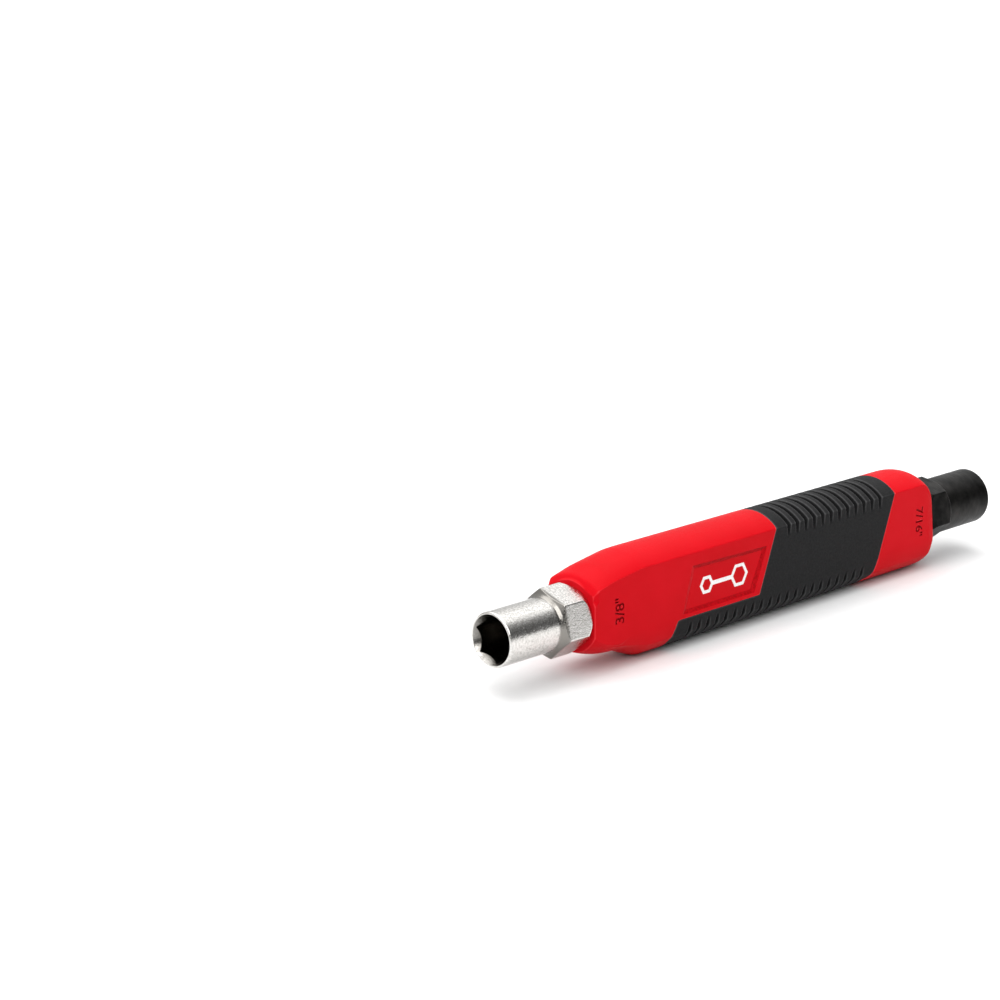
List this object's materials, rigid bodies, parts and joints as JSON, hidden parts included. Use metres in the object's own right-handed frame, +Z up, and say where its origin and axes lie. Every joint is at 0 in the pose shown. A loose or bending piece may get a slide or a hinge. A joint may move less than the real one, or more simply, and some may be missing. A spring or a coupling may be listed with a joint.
{
  "type": "double-ended hex socket driver",
  "caption": "Hand driver with a hex socket at each end, hexagon bolsters for a wrench and a rigid moulded handle with a ribbed soft grip.",
  "frame": {"origin": "half way between the two socket mouths, on the common axis of the sockets", "axes": "+X along the socket axis towards the large socket, +Y across the flat sides of the handle, +Z up through its domed back"},
  "size_m": [0.175, 0.0156, 0.0261],
  "materials": {
    "plated_steel": "satin nickel-chrome plating, turned",
    "black_oxide_steel": "black oxide over a fine turned grain",
    "red_plastic": "fine spark-eroded texture, semi-matte",
    "grip_rubber": "soft matte elastomer",
    "white_print": "pad-printed ink"
  },
  "bodies": {
    "root": {"socket_three_eighths": "plated_steel", "socket_seven_sixteenths": "black_oxide_steel", "handle_body": "red_plastic", "grip_overmould": "grip_rubber", "panel_print_front": "white_print", "panel_print_back": "white_print"}
  },
  "joints": []
}
